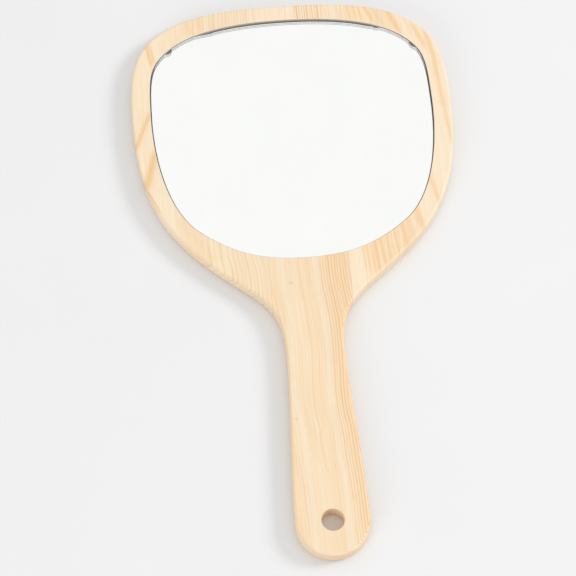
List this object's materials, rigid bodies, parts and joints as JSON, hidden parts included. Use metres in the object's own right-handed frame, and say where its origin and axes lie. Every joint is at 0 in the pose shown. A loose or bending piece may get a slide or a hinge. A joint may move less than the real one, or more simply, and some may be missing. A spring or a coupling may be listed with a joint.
{
  "type": "hand mirror",
  "caption": "Paddle-shaped wooden hand mirror: a rounded head with a recessed glass mirror, and a flat handle with a hang hole in its round end.",
  "frame": {"origin": "under the middle of the whole length and width, on the back face that the mirror lies on", "axes": "+Y from the end of the handle to the top of the head, +Z out of the mirror's face, +X across to the right when the face is seen with the head up"},
  "size_m": [0.1598, 0.3, 0.008],
  "materials": {
    "pine_left": "bare pale pine, sanded smooth, flat-sawn grain",
    "pine_middle": "bare pale pine, sanded smooth, fine straight grain",
    "pine_right": "bare pale pine, sanded smooth, wavy orange grain",
    "foam_tape": "white double-sided foam tape",
    "back_paint": "grey protective paint on the mirror's back",
    "silver": "bright silvering",
    "glass": "clear float glass with ground edges"
  },
  "bodies": {
    "root": {"stave_left": "pine_left", "stave_middle": "pine_middle", "stave_right": "pine_right", "tape_upper": "foam_tape", "tape_middle": "foam_tape", "tape_lower": "foam_tape", "back_paint": "back_paint", "silver_coat": "silver", "glass_pane": "glass"}
  },
  "joints": []
}
